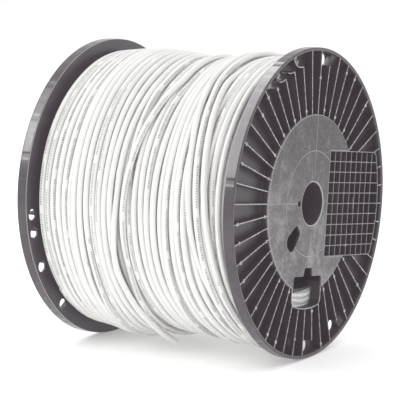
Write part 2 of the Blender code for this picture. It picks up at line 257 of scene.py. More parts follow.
def flange_material():
    """Dark moulded plastic: flow marks under a painted reflection on the hub plate, painted reflection on
    rib tops, painted shade in the pockets, painted highlights on edges and witness lines, sink marks.
    """
    material, tree, shader = nodes_of("flange_plastic")
    g = Graph(tree)
    where = g.add("ShaderNodeAttribute", attribute_name=PLACE_IN_FLANGE).outputs["Vector"]
    x, y, z = g.parts(where)
    radius = g.math("SQRT", g.math("ADD", g.times(x, x), g.times(y, y)))
    angle = g.math("ARCTAN2", y, x)

    clouds = g.noise(where, 26.0, 5.0, 0.62)
    blots = g.noise(where, 45.0, 4.0, 0.6)
    speckle = g.noise(where, 240.0, 3.0, 0.6)
    grain = g.noise(where, 330.0, 4.0, 0.7)
    fine = g.noise(where, 900.0, 2.0)
    rays = g.add("ShaderNodeCombineXYZ")
    g.link(g.times(g.math("DIVIDE", x, radius), 2.4), rays.inputs[0])
    g.link(g.times(g.math("DIVIDE", y, radius), 2.4), rays.inputs[1])
    g.link(g.times(radius, 26.0), rays.inputs[2])
    streaks = g.noise(rays.outputs[0], 2.2, 5.0, 0.60)

    # Which surface a point is on
    outer_side = g.spread(z, RIM_DEPTH - 0.0017, RIM_DEPTH - 0.0007)
    on_hub = g.times(g.spread(radius, HUB_RADIUS + 0.0003, HUB_RADIUS - 0.0005), outer_side)
    on_lattice = g.times(
        g.spread(x, LATTICE_LEFT - 0.0013, LATTICE_LEFT - 0.0007),
        g.spread(g.math("ABSOLUTE", y), LATTICE_HALF + 0.00155, LATTICE_HALF + 0.00095),
        g.spread(radius, LATTICE_RADIUS + 0.0015, LATTICE_RADIUS + 0.0010),
    )
    on_ribs = g.times(
        g.spread(radius, HUB_RADIUS + 0.0003, HUB_RADIUS + 0.0011),
        g.spread(radius, RIM_INSIDE + 0.0011, RIM_INSIDE + 0.0004),
    )
    on_tops = g.spread(z, RIB_TOP - 0.0006, RIB_TOP - 0.0002)
    on_tops = g.times(g.math("MAXIMUM", on_ribs, on_lattice), on_tops)
    in_pockets = g.times(
        g.spread(radius, HUB_RADIUS + 0.0002, HUB_RADIUS + 0.0006),
        g.spread(radius, RIM_INSIDE + 0.0007, RIM_INSIDE + 0.0001),
        g.spread(z, WEB_TOP - 0.0003, WEB_TOP + 0.0002),
    )

    # Tones: flow marks under a painted reflection on the hub plate, painted shade in the pockets, and
    # painted reflection on the tops of ribs and bars
    hub_marks_and_sheen = g.times(g.spread(clouds, 0.34, 0.66, 0.20, 1.0), g.spread(streaks, 0.30, 0.68, 0.25, 1.0))
    hub_marks_and_sheen = g.math("ADD", hub_marks_and_sheen, g.times(g.spread(speckle, 0.45, 0.68), 0.30), clamp=True)
    # Painted shading: the hub plate is lighter towards the lower left and darker at the top
    low_side = g.math("ADD", y, g.times(x, 0.35))
    hub_marks_and_sheen = g.times(hub_marks_and_sheen, g.spread(low_side, 0.075, -0.095, 0.04, 1.0))
    scuffs = g.times(g.spread(blots, 0.50, 0.66), g.spread(streaks, 0.45, 0.60))
    hub = g.mix(hub_marks_and_sheen, HUB_DARK, HUB_SHEEN_LIGHT)
    hub = g.mix(g.times(g.spread(grain, 0.46, 0.62), 0.15), hub, FLOW_MARKS_AND_HIGHLIGHT)
    hub = g.mix(g.times(scuffs, 0.24), hub, FLOW_MARKS_AND_HIGHLIGHT)
    patches = g.spread(clouds, 0.40, 0.68)
    plastic = g.mix(patches, DARK_PLASTIC, CLOUDY_PLASTIC)
    # Painted shade in the pockets between the ribs
    plastic = g.mix(in_pockets, plastic, g.mix(patches, POCKET_SHADE_DARK, POCKET_SHADE_LIGHT))
    # Painted reflection on the tops of ribs and bars, in speckles of light and dark
    sheen_speckle = g.spread(speckle, 0.35, 0.65)
    top_sheen = g.mix(sheen_speckle, RIB_TOP_SHEEN_DARK, RIB_TOP_SHEEN_LIGHT)
    top_sheen = g.mix(on_lattice, top_sheen, g.mix(sheen_speckle, RIB_TOP_SHEEN_DARK, LATTICE_TOP_SHEEN))
    colour = g.mix(on_tops, g.mix(on_hub, plastic, hub), top_sheen)

    # Painted highlights on edges: the bore's lip, the hub plate's border and the flange's inner edge
    lip = g.times(g.spread(g.away(radius, BORE_RADIUS + 0.0006), 0.0011, 0.0006), outer_side)
    plate_edge = g.times(
        g.spread(radius, HUB_RADIUS - 0.0012, HUB_RADIUS - 0.0008),
        g.spread(radius, HUB_RADIUS + 0.0007, HUB_RADIUS + 0.0003),
        g.spread(z, RIM_DEPTH - 0.0025, RIM_DEPTH - 0.0015, 0.0, 0.75),
    )
    inner_edge = g.times(
        g.spread(radius, FLANGE_RADIUS - 0.0009, FLANGE_RADIUS - 0.0004),
        g.spread(z, 0.0007, 0.0004),
    )
    for edge in (lip, plate_edge, inner_edge):
        colour = g.mix(edge, colour, EDGE_HIGHLIGHT)

    # The groove ring and the witness lines on the hub plate, lightened as a painted highlight on their
    # ridges
    lines = g.spread(g.away(radius, GROOVE_RADIUS), 0.0010, 0.0004)
    for degrees in WITNESS_LINES:
        cosine, sine = math.cos(math.radians(degrees)), math.sin(math.radians(degrees))
        across = g.away(g.times(x, sine), g.times(y, cosine))
        ahead = g.math("ADD", g.times(x, cosine), g.times(y, sine))
        line = g.times(g.spread(across, 0.0009, 0.0002), g.spread(ahead, 0.034, 0.040))
        lines = g.math("MAXIMUM", lines, line)
    lines = g.times(lines, on_hub)
    g.link(g.mix(g.times(lines, 0.60), colour, FLOW_MARKS_AND_HIGHLIGHT), shader.inputs["Base Color"])

    rough = g.math("ADD", g.times(clouds, 0.14), 0.24)
    rough = g.math("ADD", rough, g.times(hub_marks_and_sheen, on_hub, 0.20))
    rough = g.math("ADD", rough, g.times(in_pockets, 0.12))
    on_edge = g.spread(radius, FLANGE_RADIUS - 0.0018, FLANGE_RADIUS - 0.0005)
    g.link(g.math("SUBTRACT", rough, g.times(on_edge, 0.10)), shader.inputs["Roughness"])
    set_inputs(shader, IOR=1.50)

    # Relief: clouds, raised lines, and the rim's sink marks at each rib
    on_rim = g.spread(radius, FLANGE_RADIUS - 0.0023, FLANGE_RADIUS - 0.0008)
    sinks = g.times(g.spread(g.math("COSINE", g.times(angle, float(RIB_COUNT))), 0.2, 1.0), on_rim)
    height = g.math("ADD", g.times(clouds, 0.5), g.times(lines, 0.7))
    height = g.math("SUBTRACT", height, g.times(sinks, 0.6))
    g.link(g.bump(fine, 0.00003, 0.6, g.bump(height, 0.00045)), shader.inputs["Normal"])
    return material


def barrel_material():
    material, tree, shader = nodes_of("barrel_plastic")
    g = Graph(tree)
    where = g.add("ShaderNodeTexCoord").outputs["Object"]
    streaks = g.noise(g.scaled(where, (0.08, 1.0, 1.0)), 60.0, 4.0, 0.6)
    g.link(g.mix(streaks, DARK_PLASTIC, CLOUDY_PLASTIC), shader.inputs["Base Color"])
    g.link(g.spread(streaks, 0.2, 0.8, 0.38, 0.55), shader.inputs["Roughness"])
    g.link(g.bump(g.noise(where, 700.0), 0.00004), shader.inputs["Normal"])
    return material


def jacket_material():
    """White cable jacket with a row of plain grey dashes that runs along it; u is metres along."""
    material, tree, shader = nodes_of("cable_jacket")
    g = Graph(tree)
    uv = g.add("ShaderNodeUVMap", uv_map="run").outputs["UV"]
    along, around, _ = g.parts(uv)
    where = g.add("ShaderNodeTexCoord").outputs["Object"]

    band = g.spread(g.away(g.math("FRACT", around), 0.5), 0.060, 0.045)
    cell = g.math("FRACT", g.times(along, 1 / DASH_PITCH))
    dash = g.times(g.spread(cell, 0.05, 0.15), g.spread(cell, 0.85, 0.75))
    group = g.spread(g.math("FRACT", g.times(along, 1 / GROUP_PITCH)), 0.86, 0.80)
    row = g.math("FRACT", g.times(along, 1 / ROW_PITCH))
    row = g.times(g.spread(row, 0.02, 0.03), g.spread(row, 0.56, 0.55))
    faded = g.noise(g.scaled(uv, (900.0, 5.0, 1.0)), 1.0, 2.0)
    ink = g.times(band, dash, group, row, g.spread(faded, 0.30, 0.60, 0.30, 0.75))
    tone = g.noise(where, 35.0, 3.0)
    jacket = g.mix(g.spread(tone, 0.35, 0.70), JACKET_SHADE, JACKET_LIGHT)
    smudges = g.spread(g.noise(where, 11.0, 4.0, 0.65), 0.60, 0.78, 0.0, 0.55)
    jacket = g.mix(smudges, jacket, JACKET_SMUDGE)
    g.link(g.mix(ink, jacket, INK), shader.inputs["Base Color"])
    g.link(g.spread(tone, 0.3, 0.7, 0.34, 0.46), shader.inputs["Roughness"])
    set_inputs(shader, IOR=1.50, Subsurface_Weight=0.45, Subsurface_Scale=0.0025)
    set_inputs(shader, Subsurface_Radius=(1.0, 1.0, 0.95))
    g.link(g.bump(g.noise(where, 420.0, 2.0), 0.00005), shader.inputs["Normal"])
    return material


def floor_material():
    material, tree, shader = nodes_of("studio_floor")
    g = Graph(tree)
    where = g.add("ShaderNodeTexCoord").outputs["Object"]
    g.link(g.mix(g.noise(where, 3.0), FLOOR_SHADE, FLOOR_LIGHT), shader.inputs["Base Color"])
    set_inputs(shader, Roughness=0.9)
    return material


# Mesh helpers

def new_object(name, data, *materials):
    made = bpy.data.objects.new(name, data)
    bpy.context.scene.collection.objects.link(made)
    for material in materials:
        data.materials.append(material)
    return made


def mesh_from(name, points, faces, uvs=None):
    """A mesh of quads and other faces; uvs holds one pair for each face corner."""
    mesh = bpy.data.meshes.new(name)
    mesh.from_pydata([tuple(p) for p in points], [], [tuple(f) for f in faces])
    if uvs is not None:
        layer = mesh.uv_layers.new(name="run")
        layer.data.foreach_set("uv", np.asarray(uvs, np.float32).ravel())
    mesh.update()
    return mesh


def polar(radius, degrees):
    angle = math.radians(degrees)
    return Vector((radius * math.cos(angle), radius * math.sin(angle)))


def arc(radius, start, end, count):
    return [polar(radius, start + (end - start) * step / (count - 1)) for step in range(count)]


def rounded(corners, count=6):
    """An outline with its corners rounded: each corner is a point and a radius."""
    outline = []
    total = len(corners)
    for index in range(total):
        point, radius = Vector(corners[index][0]), corners[index][1]
        if radius == 0:
            outline.append(point)
            continue
        before = (Vector(corners[index - 1][0]) - point).normalized()
        after = (Vector(corners[(index + 1) % total][0]) - point).normalized()
        half = before.angle(after) / 2
        centre = point + (before + after).normalized() * (radius / math.sin(half))
        start = point + before * (radius / math.tan(half)) - centre
        end = point + after * (radius / math.tan(half)) - centre
        for step in range(count):
            outline.append(centre + start.lerp(end, step / (count - 1)).normalized() * radius)
    return outline


class Shape:
    """Collects closed bodies into one mesh."""

    def __init__(self):
        self.points = []
        self.faces = []

    def loft(self, rings):
        """Closed rings of equal count, joined in order, with both ends capped."""
        count, base = len(rings[0]), len(self.points)
        for ring in rings:
            self.points.extend(ring)
        for low in range(base, base + (len(rings) - 1) * count, count):
            for index in range(count):
                other = (index + 1) % count
                self.faces.append((low + index, low + other, low + count + other, low + count + index))
        self.faces.append(range(base + count - 1, base - 1, -1))
        self.faces.append(range(len(self.points) - count, len(self.points)))

    def tapered(self, outline, low, high, draft):
        """An outline raised with draft and a small chamfer round its top."""
        waist = shrunk(outline, draft)
        crown = shrunk(outline, draft + TOP_CHAMFER)
        self.loft([
            [(p.x, p.y, low) for p in outline],
            [(p.x, p.y, high - TOP_CHAMFER) for p in waist],
            [(p.x, p.y, high) for p in crown],
        ])

    def bar(self, start, end, half, low, high):
        """A straight rib between two points of the plan."""
        along = (end - start).normalized()
        side = Vector((-along.y, along.x)) * half
        self.tapered([start - side, end - side, end + side, start + side], low, high, DRAFT)

    def path(self, line, half, low, high):
        """A curved rib along a line of points."""
        left, right = [], []
        for index, point in enumerate(line):
            ahead = line[min(index + 1, len(line) - 1)] - line[max(index - 1, 0)]
            side = Vector((-ahead.y, ahead.x)).normalized() * half
            left.append(point + side)
            right.append(point - side)
        self.tapered(right + left[::-1], low, high, CURVED_DRAFT)

    def knob(self, centre, radius, high, sides=16):
        """A round knob that stands on the web; its top is drawn in by two rounding steps."""
        outline = [centre + polar(radius, 360.0 * step / sides) for step in range(sides)]
        rings = [[(p.x, p.y, FOOT) for p in outline]]
        for below, drawn_in in ((0.0004, 0.0), (0.0001, 0.12), (0.0, 0.35)):
            rings.append([(*p.lerp(centre, drawn_in), high - below) for p in outline])
        self.loft(rings)

    def mesh(self, name):
        return mesh_from(name, self.points, self.faces)


def shrunk(outline, inset):
    """The outline moved inwards by a small inset at each corner; its points run anticlockwise."""
    folded_back, least_cosine = 0.2, 0.35
    result = []
    total = len(outline)
    for index in range(total):
        point = outline[index]
        before = (point - outline[index - 1]).normalized()
        after = (outline[(index + 1) % total] - point).normalized()
        first = Vector((-before.y, before.x))
        middle = first + Vector((-after.y, after.x))
        if middle.length < folded_back:
            result.append(point + first * inset)
            continue
        middle.normalize()
        result.append(point + middle * (inset / max(least_cosine, middle.dot(first))))
    return result


def turned(name, profile, sides):
    """A closed profile of (radius, height) points turned about Z."""
    points, faces = [], []
    count = len(profile)
    for step in range(sides):
        angle = 2 * math.pi * step / sides
        points += [(r * math.cos(angle), r * math.sin(angle), z) for r, z in profile]
    for step in range(sides):
        near, far = step * count, ((step + 1) % sides) * count
        for index in range(count):
            other = (index + 1) % count
            faces.append((near + index, near + other, far + other, far + index))
    return mesh_from(name, points, faces)


def outward(mesh):
    shape = bmesh.new()
    shape.from_mesh(mesh)
    bmesh.ops.recalc_face_normals(shape, faces=shape.faces)
    shape.to_mesh(mesh)
    shape.free()


def cut(body, cutter_meshes):
    """Cuts closed meshes out of the body's mesh, one Boolean for all of them."""
    cutters = new_object("cutters", merged("cutters", cutter_meshes))
    modifier = body.modifiers.new("holes", "BOOLEAN")
    modifier.operation = "DIFFERENCE"
    modifier.solver = "EXACT"
    modifier.object = cutters
    bpy.context.view_layer.update()
    graph = bpy.context.evaluated_depsgraph_get()
    mesh = bpy.data.meshes.new_from_object(body.evaluated_get(graph))
    body.modifiers.clear()
    body.data = mesh
    bpy.data.objects.remove(cutters, do_unlink=True)


def merged(name, meshes):
    """Several meshes as one."""
    shape = bmesh.new()
    for mesh in meshes:
        shape.from_mesh(mesh)
    result = bpy.data.meshes.new(name)
    shape.to_mesh(result)
    shape.free()
    return result


def prism(name, outline, low, high):
    shape = Shape()
    shape.loft([[(p.x, p.y, low) for p in outline], [(p.x, p.y, high) for p in outline]])
    mesh = shape.mesh(name)
    outward(mesh)
    return mesh


# Flange

def lattice_outline():
    """The label lattice's border: straight at the left, an arc at the right with its ends cut off."""
    end_cut, corner_cut = 0.0035, 0.0040
    end = math.degrees(math.asin((LATTICE_HALF - end_cut) / LATTICE_RADIUS))
    side = arc(LATTICE_RADIUS, -end, end, 25)
    corner = side[-1].x - corner_cut
    left = [Vector((LATTICE_LEFT, LATTICE_HALF)), Vector((LATTICE_LEFT, -LATTICE_HALF))]
    return left + [Vector((corner, -LATTICE_HALF))] + side + [Vector((corner, LATTICE_HALF))]


def window_outline(grow):
    """The window below the bore, with the notch in its top; grow moves its outline outwards."""
    half, top = 0.0350 + grow, -(0.0885 - grow)
    radius, corner = 0.1275 + grow, 0.0035 + grow
    mouth, tip, deep = 0.0115 + grow, 0.0085 + grow, top + 0.0100
    mouth_radius, tip_radius = 0.0008, 0.0012
    foot = -math.sqrt(radius ** 2 - half ** 2)
    end = math.degrees(math.asin((half - corner) / radius))
    right = [((half, foot), 0), ((half, top), corner)]
    right += [((mouth, top), mouth_radius), ((tip, deep), tip_radius)]
    outline = rounded(right + [((-x, y), bend) for (x, y), bend in reversed(right)])
    outline[0] = Vector((half, foot + corner))
    outline[-1] = Vector((-half, foot + corner))
    return outline + arc(radius, -90.0 - end, -90.0 + end, 17)


def slot_outline():
    (near, far), (first, second) = SLOT_RADII, SLOT_ANGLES
    near_corner, far_corner = 0.0050, 0.0095
    return rounded([
        (polar(near, first), near_corner), (polar(near, second), near_corner),
        (polar(far, second), far_corner), (polar(far, first), far_corner),
    ], 8)


def inside(point, outline):
    crossings = False
    for index in range(len(outline)):
        a, b = outline[index - 1], outline[index]
        if (a.y > point.y) != (b.y > point.y):
            if point.x < (b.x - a.x) * (point.y - a.y) / (b.y - a.y) + a.x:
                crossings = not crossings
    return crossings


def rib_runs(degrees, end, walls):
    """The stretches of a radial rib that stay outside the lattice and the window."""
    inside_hub, step, shortest = 0.0015, 0.0004, 0.002
    runs, begun = [], None
    radius = HUB_RADIUS - inside_hub
    while radius < end:
        clear = not any(inside(polar(radius, degrees), wall) for wall in walls)
        if clear and begun is None:
            begun = radius
        if not clear and begun is not None:
            runs.append((begun, radius))
            begun = None
        radius += step
    if begun is not None:
        runs.append((begun, end))
    return [run for run in runs if run[1] - run[0] > shortest]


def flange_profile():
    """Half section, anticlockwise, with rounded edges and a shallow groove ring on the hub plate."""
    rim, wall, hub = FLANGE_RADIUS - 0.00002, RIM_INSIDE, HUB_RADIUS
    top, web, ring, bore = RIM_DEPTH, WEB_TOP, GROOVE_RADIUS, BORE_RADIUS
    back, collar = RIM_DEPTH - PLATE_DEPTH, BORE_RADIUS + COLLAR_WALL
    return [
        # Rim
        (rim - 0.0015, 0.0), (rim - 0.0009, 0.0), (rim - 0.00026, 0.00026), (rim, 0.0009), (rim, 0.0015),
        (rim, top - 0.0014), (rim, top - 0.0008), (rim - 0.00023, top - 0.00023), (rim - 0.0008, top),
        (wall + 0.0019, top), (wall + 0.0010, top - 0.0004), (wall + 0.0004, top - 0.0014),
        # Web
        (wall - 0.0004, web + 0.0010), (wall - 0.0012, web), (hub + 0.0012, web),
        (hub + 0.0003, web + 0.0008),
        # Hub plate with its groove
        (hub, top - 0.0011), (hub - 0.0003, top - 0.0003), (hub - 0.0011, top), (hub - 0.0018, top),
        (ring + 0.0013, top), (ring + 0.0007, top), (ring, top - 0.00028), (ring - 0.0007, top),
        (ring - 0.0013, top), (bore + 0.0024, top), (bore + 0.0016, top),
        # Bore, collar, underside of the plate and spigot
        (bore + 0.0007, top - 0.0002), (bore + 0.0001, top - 0.0009), (bore, top - COLLAR_DEPTH),
        (collar, top - COLLAR_DEPTH), (collar, back), (SPIGOT_INSIDE, back), (SPIGOT_INSIDE, -SPIGOT_DEPTH),
        (SPIGOT_OUTSIDE, -SPIGOT_DEPTH), (SPIGOT_OUTSIDE, 0.0),
    ]


# Knobs on the ribs: the rib's number and, near the rim, the radius
RIM_KNOBS = (
    (18, 0.1755), (17, 0.1700), (19, 0.1695), (21, 0.1805), (22, 0.1800), (25, 0.1778), (26, 0.1750),
    (27, 0.1767), (28, 0.1778), (30, 0.1716), (32, 0.1786), (33, 0.1784), (35, 0.1660), (37, 0.1334),
    (38, 0.1805), (41, 0.1714), (43, 0.1710), (6, 0.1755), (8, 0.1795), (9, 0.1755), (12, 0.1530),
)
RIM_KNOB_RADIUS = 0.0023
HUB_KNOBS = (5, 7, 9, 11, 14, 16, 18, 20, 22, 25, 27, 29, 31, 33, 39, 41, 43)
HUB_KNOB_CENTRE = 0.1152
HUB_KNOB_RADIUS = 0.0021
KNOB_TOP = RIB_TOP + 0.0004
# Knobs on the lattice's crossings: column and row
LATTICE_KNOBS = ((7, 9), (5, 8), (3, 6), (4, 5), (7, 5), (8, 4), (7, 3), (1, 2), (5, 2), (4, 1), (8, 6))
LATTICE_KNOB_RADIUS = 0.0016


def add_ribs(shape):
    """Radial ribs, stopped short at the tie holes, and the curved walls that sweep past the holes."""
    walls = [lattice_outline(), window_outline(FRAME_GROW)]
    for step in range(RIB_COUNT):
        degrees = RIB_PITCH * step
        signed = (degrees + 180.0) % 360.0 - 180.0
        end = RIM_INSIDE + 0.0012
        if any(abs(signed - hole) < 3.0 for hole in TIE_HOLES + SWEEPS):
            end = TIE_RIB_END
        for begin, finish in rib_runs(degrees, end, walls):
            ends = polar(begin - 0.0004, degrees), polar(finish + 0.0002, degrees)
            shape.bar(*ends, RIB_HALF, FOOT, RIB_TOP)
    holes = [polar(TIE_HOLE_CENTRE, degrees) for degrees in TIE_HOLES]
    for degrees in SWEEPS:
        line = []
        for index in range(25):
            share = index / 24
            radius = TIE_RIB_END + (RIM_INSIDE + 0.0008 - TIE_RIB_END) * share ** 2
            point = polar(radius, degrees + SWEEP_TURN * math.sin(share * math.pi / 2))
            if min((point - hole).length for hole in holes) < TIE_HOLE_RADIUS + 0.0005:
                break
            line.append(point)
        shape.path(line, WALL_HALF, FOOT, RIB_TOP)


def add_lattice(shape):
    """Rows, columns and border of the label lattice, and the floor that closes its cells."""
    border = lattice_outline()
    for row in range(LATTICE_ROWS + 1):
        y = -LATTICE_HALF + row * CELL_HEIGHT
        reach = math.sqrt(LATTICE_RADIUS ** 2 - y ** 2)
        if row in (0, LATTICE_ROWS):
            reach = border[-1].x + 0.0020
        shape.bar(Vector((LATTICE_LEFT, y)), Vector((reach, y)), BAR_HALF, FOOT, RIB_TOP + 0.0001)
    for column in range(LATTICE_COLUMNS):
        x = LATTICE_LEFT + column * CELL_WIDTH
        shape.bar(Vector((x, -LATTICE_HALF)), Vector((x, LATTICE_HALF)), BAR_HALF, FOOT, RIB_TOP)
    shape.path(border[2:], WALL_HALF, FOOT, RIB_TOP + 0.0001)
    shape.loft([[(p.x, p.y, level) for p in border] for level in (0.0003, WEB_TOP - 0.0003)])


def flange_details():
    """Ribs, lattice bars, knobs, window frame, sweeps and pads as closed bodies."""
    shape = Shape()
    add_ribs(shape)
    add_lattice(shape)
    for column, row in LATTICE_KNOBS:
        centre = Vector((LATTICE_LEFT + column * CELL_WIDTH, -LATTICE_HALF + row * CELL_HEIGHT))
        shape.knob(centre, LATTICE_KNOB_RADIUS, RIB_TOP + 0.0002, 12)
    for index in HUB_KNOBS:
        shape.knob(polar(HUB_KNOB_CENTRE, RIB_PITCH * index), HUB_KNOB_RADIUS, KNOB_TOP)
    for index, radius in RIM_KNOBS:
        shape.knob(polar(radius, RIB_PITCH * index), RIM_KNOB_RADIUS, KNOB_TOP)

    frame_line = [p for p in window_outline(FRAME_GROW) if p.length > HUB_RADIUS + 0.008]
    side = abs(frame_line[0].x)
    shoulder = -math.sqrt(HUB_RADIUS ** 2 - side ** 2) + 0.0006
    frame_line.sort(key=lambda p: p.x)
    line = [Vector((-side, shoulder))] + frame_line + [Vector((side, shoulder))]
    shape.path(line, WALL_HALF, 0.0008, RIB_TOP)
    add_pads(shape)
    mesh = shape.mesh("details")
    outward(mesh)
    return mesh


def add_pads(shape):
    """Plain raised pads on the web: a disc, and a ramp beside two of the tie holes."""
    shape.knob(polar(0.1700, -97.5), 0.0062, 0.0075, 28)
    ramp_start, ramp_low, ramp_high, count = 0.1700, 0.0040, 0.0098, 7
    for start, end in ((74.0, 80.5), (-58.0, -52.0)):
        outline = arc(ramp_start, start, end, count) + arc(RIM_INSIDE + 0.0006, end, start, count)
        tops = [ramp_low] * count + [ramp_high] * count
        foot = [(p.x, p.y, FOOT) for p in outline]
        shape.loft([foot, [(p.x, p.y, top) for p, top in zip(outline, tops)]])


def round_cutter(name, centre, radius, sides):
    outline = [centre + polar(radius, 360.0 * step / sides) for step in range(sides)]
    return prism(name, outline, CUT_LOW, CUT_HIGH)


def flange_mesh():
    """One flange in its own frame, with its openings cut and its details added."""
    body = new_object("flange_body", turned("flange_body", flange_profile(), 288))
    outward(body.data)
    cutters = [
        prism("recess", lattice_outline(), WEB_TOP, CUT_HIGH),
        prism("window", window_outline(0.0), CUT_LOW, CUT_HIGH),
        prism("slot", slot_outline(), CUT_LOW, CUT_HIGH),
    ]
    for degrees in TIE_HOLES:
        cutters.append(round_cutter("hole", polar(TIE_HOLE_CENTRE, degrees), TIE_HOLE_RADIUS, 24))
    cutters.append(round_cutter("drive", polar(DRIVE_HOLE_CENTRE, 180.0), DRIVE_HOLE_RADIUS, 20))
    cut(body, cutters)
    mesh = merged("flange_moulding", [body.data, flange_details()])
    bpy.data.objects.remove(body, do_unlink=True)
    mesh.shade_smooth()
    mesh.set_sharp_from_angle(angle=math.radians(32))
    return mesh


def make_flanges(material):
    """Both flanges from one mesh, which keeps its own coordinates as an attribute before it is placed."""
    mesh = flange_mesh()
    place = mesh.attributes.new(PLACE_IN_FLANGE, "FLOAT_VECTOR", "POINT")
    for vertex, entry in zip(mesh.vertices, place.data):
        entry.vector = vertex.co
    near = new_object("near_flange_moulding", mesh, material)
    far = new_object("far_flange_moulding", mesh.copy())
    near.data.transform(REEL_AXIS @ Matrix.Translation((0.0, 0.0, HALF_TRAVERSE))
                        @ Matrix.Rotation(math.radians(NEAR_TURN), 4, "Z"))
    far.data.transform(REEL_AXIS @ Matrix.Translation((0.0, 0.0, -HALF_TRAVERSE))
                       @ Matrix.Rotation(math.radians(FAR_TURN), 4, "Z") @ Matrix.Rotation(math.pi, 4, "X"))
    return near, far


# Cable

TUBE_SHARP_ANGLE = math.radians(60)


def smooth_line(knots, values, samples):
    """Values at the samples on a smooth line through the knots that doesn't overshoot them."""
    knots, values = np.asarray(knots, float), np.asarray(values, float)
    steps = np.diff(knots)
    slopes = np.diff(values) / steps
    tangents = np.zeros(len(knots))
    for index in range(1, len(knots) - 1):
        if slopes[index - 1] * slopes[index] > 0:
            first = 2 * steps[index] + steps[index - 1]
            second = steps[index] + 2 * steps[index - 1]
            tangents[index] = (first + second) / (first / slopes[index - 1] + second / slopes[index])
    tangents[0], tangents[-1] = slopes[0], slopes[-1]
    at = np.clip(np.searchsorted(knots, samples, side="right") - 1, 0, len(steps) - 1)
    t = (samples - knots[at]) / steps[at]
    return (values[at] * (1 + 2 * t) * (1 - t) ** 2 + steps[at] * tangents[at] * t * (1 - t) ** 2
            + values[at + 1] * t * t * (3 - 2 * t) + steps[at] * tangents[at + 1] * t * t * (t - 1))


def wound_radius(x):
    """Radius of the wound cable's outside at a distance along the axis, as in the CAD solid."""
    at_flange, between, rise_length = 0.1680, 0.1775, 0.0120
    wave_height, wave_length, wave_start = 0.0030, 0.1650, 0.0700
    wave = wave_height * np.cos(2 * np.pi * (x + wave_start) / wave_length)
    inset = np.clip(HALF_TRAVERSE - 0.0003 - np.abs(x), 0.0, rise_length)
    rise = (1 - np.cos(np.pi * inset / rise_length)) / 2
    return at_flange + (between + wave - at_flange) * rise


class Tubes:
    """Tubes of one diameter gathered in one mesh; each corner carries metres along and turns around."""

    def __init__(self):
        self.points = []
        self.faces = []
        self.uvs = []
        self.base = 0

    def add(self, line, up, sides, start, twist):
        """line and up hold a point and its outward direction a row; twist is the print's turn."""
        line, up = np.asarray(line), np.asarray(up)
        count = len(line)
        ahead = np.gradient(line, axis=0)
        ahead /= np.linalg.norm(ahead, axis=1)[:, None]
        up = up - (up * ahead).sum(1)[:, None] * ahead
        up /= np.linalg.norm(up, axis=1)[:, None]
        side = np.cross(ahead, up)
        steps = np.linalg.norm(np.diff(line, axis=0), axis=1)
        along = start + np.concatenate([[0.0], np.cumsum(steps)])
        angles = 2 * np.pi * (np.arange(sides) / sides - 0.5)
        ring = (line[:, None, :] + CABLE_RADIUS * (np.cos(angles)[None, :, None] * up[:, None, :]
                                                   + np.sin(angles)[None, :, None] * side[:, None, :]))
        self.points.append(ring.reshape(-1, 3))
        rows = np.arange(count - 1)[:, None] * sides
        columns = np.arange(sides)[None, :]
        following = (columns + 1) % sides
        beyond = rows + sides
        quads = np.stack([rows + columns, rows + following, beyond + following, beyond + columns], -1)
        self.faces.extend(quads.reshape(-1, 4)[:, ::-1] + self.base)
        u = np.repeat(along[:, None], sides + 1, 1)
        v = np.arange(sides + 1)[None, :] / sides + np.asarray(twist)[:, None]
        uv = np.stack([u, v], -1)
        corners = np.stack([uv[:-1, :-1], uv[:-1, 1:], uv[1:, 1:], uv[1:, :-1]], 2)[:, :, ::-1]
        self.uvs.append(corners.reshape(-1, 2))
        first = np.arange(sides) + self.base
        last = first[::-1] + (count - 1) * sides
        for cap, distance in ((first, along[0]), (last, along[-1])):
            self.faces.append(cap)
            self.uvs.append(np.tile([[distance, 0.0]], (sides, 1)))
        self.base += count * sides

    def mesh(self, name):
        mesh = mesh_from(name, np.concatenate(self.points), self.faces, np.concatenate(self.uvs))
        mesh.shade_smooth()
        mesh.set_sharp_from_angle(angle=TUBE_SHARP_ANGLE)
        return mesh


def ring_points(x, radius, degrees):
    """Points round the axis: 0 degrees faces -Y, 90 is the top."""
    turn = np.radians(degrees)
    points = np.stack([x, -radius * np.cos(turn), AXIS_HEIGHT + radius * np.sin(turn)], -1)
    up = np.stack([np.zeros_like(turn), -np.cos(turn), np.sin(turn)], -1)
    return points, up


# The angles, in degrees above the reel's front, at which the visible turns are given
FRONT = (62.0, 50.0, 25.0, 0.0, -25.0, -50.0, -62.0)
